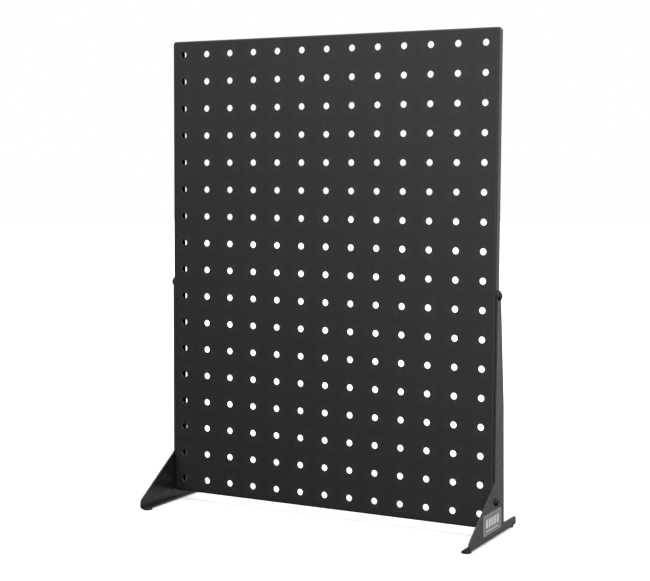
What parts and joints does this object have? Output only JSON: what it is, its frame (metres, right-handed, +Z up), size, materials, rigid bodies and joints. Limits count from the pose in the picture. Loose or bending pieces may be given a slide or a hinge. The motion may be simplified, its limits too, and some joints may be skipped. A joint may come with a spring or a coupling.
{
  "type": "pegboard display stand",
  "caption": "Countertop stand with a folded steel pegboard panel punched with a square grid of peg holes, held upright by bolted foot brackets on rubber pads.",
  "frame": {"origin": "on the surface the stand rests on, midway between the feet and midway along their length", "axes": "+X to the right along the panel seen from its front, +Y from the front to the back, +Z up"},
  "size_m": [0.3364, 0.112, 0.4404],
  "materials": {
    "black_powder_coat": "satin fine-texture powder coat",
    "black_screw": "black oxide, semi-gloss",
    "zinc_nut": "bright zinc plating",
    "black_rubber": "matt moulded rubber",
    "grey_label": "satin printed film"
  },
  "bodies": {
    "root": {"label_plate": "grey_label", "left_foot_bracket": "black_powder_coat", "left_front_pad": "black_rubber", "left_lower_nut": "zinc_nut", "left_lower_screw": "black_screw", "left_rear_pad": "black_rubber", "left_upper_nut": "zinc_nut", "left_upper_screw": "black_screw", "pegboard_panel": "black_powder_coat", "right_foot_bracket": "black_powder_coat", "right_front_pad": "black_rubber", "right_lower_nut": "zinc_nut", "right_lower_screw": "black_screw", "right_rear_pad": "black_rubber", "right_upper_nut": "zinc_nut", "right_upper_screw": "black_screw"}
  },
  "joints": []
}
